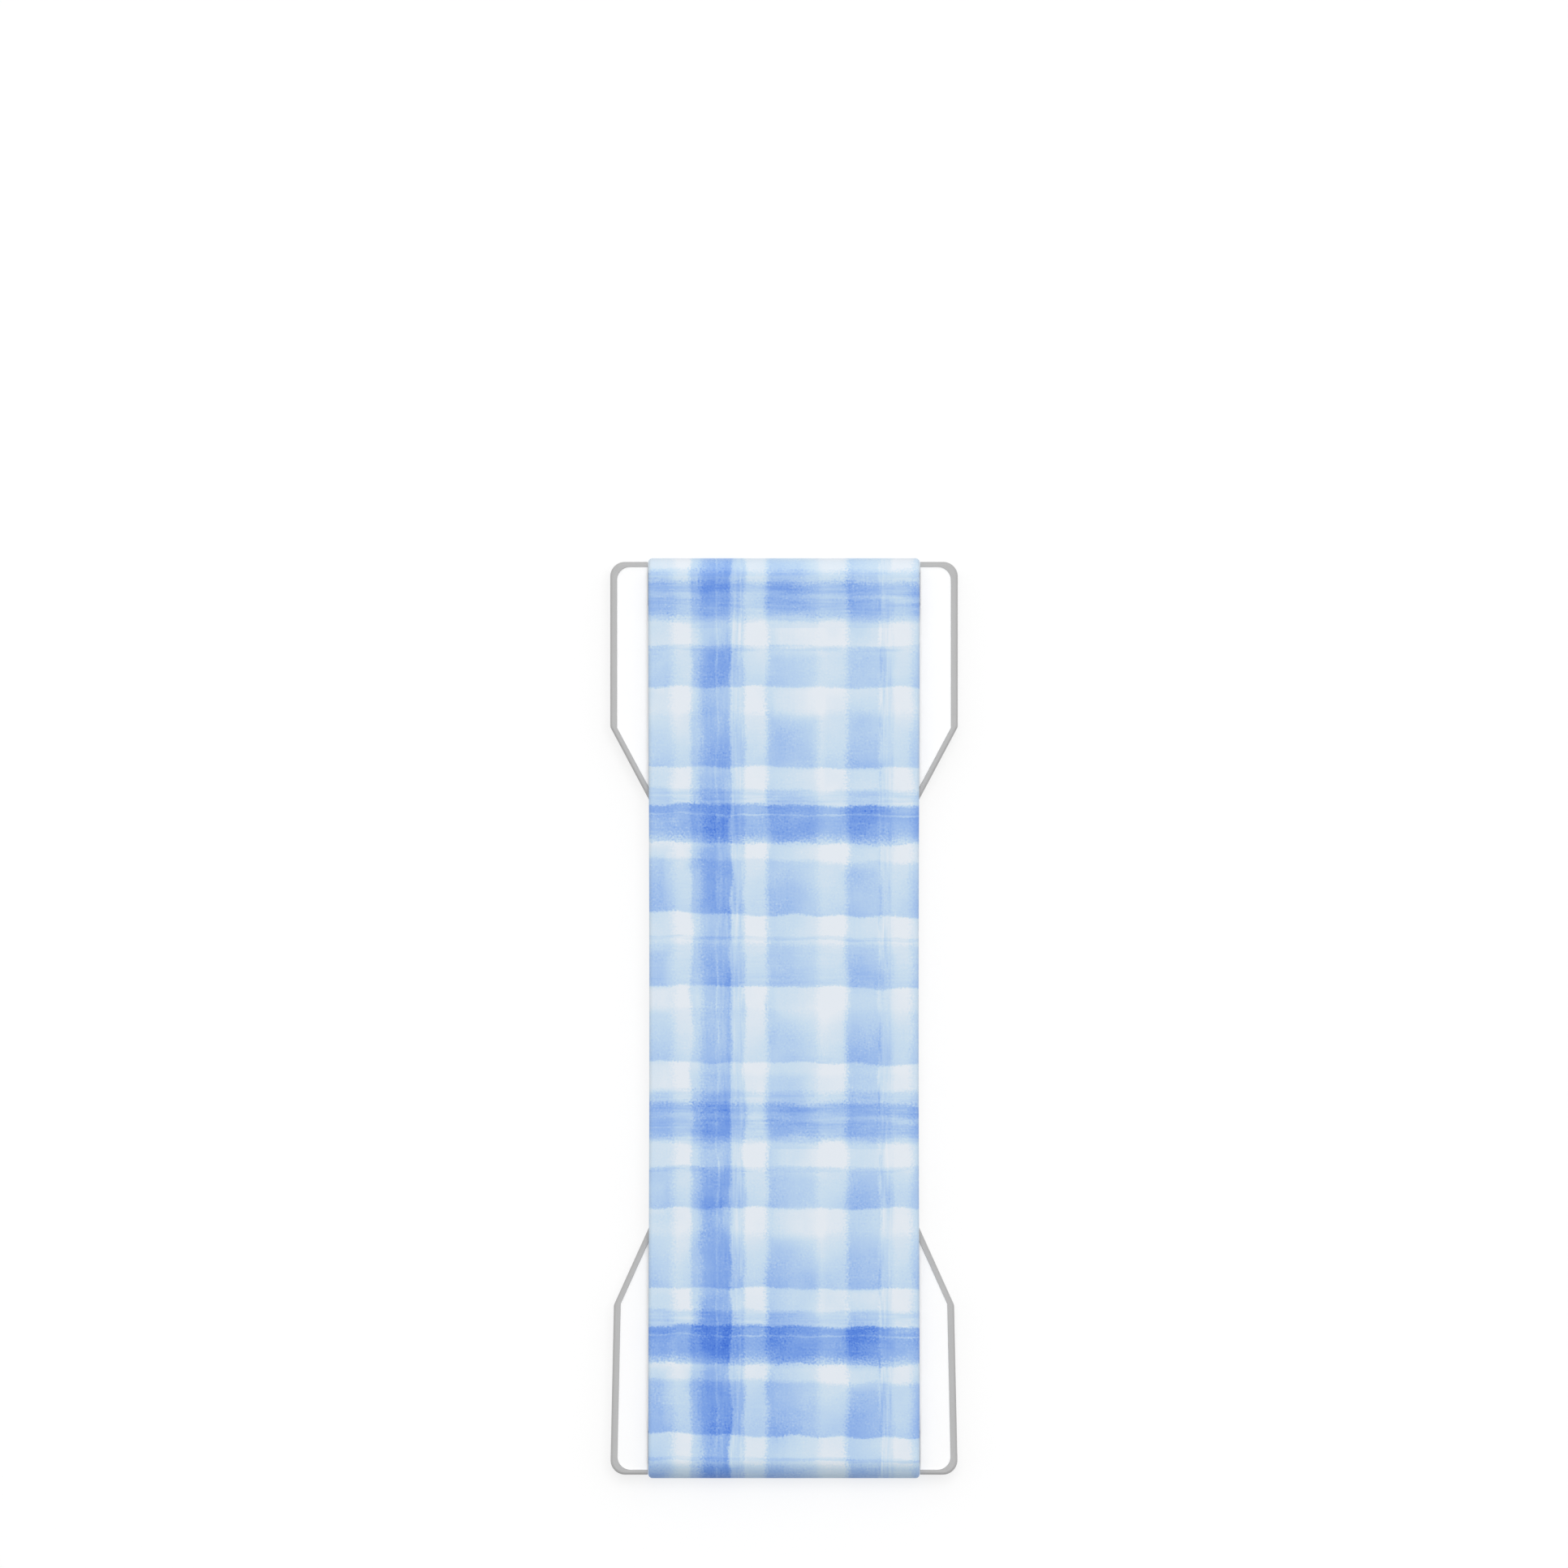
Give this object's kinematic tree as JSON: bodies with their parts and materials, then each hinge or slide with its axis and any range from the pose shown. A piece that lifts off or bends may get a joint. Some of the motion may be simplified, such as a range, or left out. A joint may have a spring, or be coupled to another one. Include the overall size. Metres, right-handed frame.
{
  "type": "phone finger strap",
  "caption": "Flat silicone finger strap hooked at both ends onto a dog-bone base plate that sticks to the back of a phone.",
  "frame": {"origin": "centre of the adhesive pad's sticky underside", "axes": "+Z away from the phone, +Y along the strap's length towards the phone's top, +X across its width"},
  "size_m": [0.0384, 0.1014, 0.0046],
  "materials": {
    "silicone": "matte silicone, printed with a soft blue and white plaid on its outer face",
    "plate_plastic": "satin white, with a light grey rim",
    "pad_foam": "thin closed-cell foam with a tacky face"
  },
  "bodies": {
    "root": {"strap": "silicone", "base_plate": "plate_plastic", "adhesive_pad": "pad_foam"}
  },
  "joints": []
}
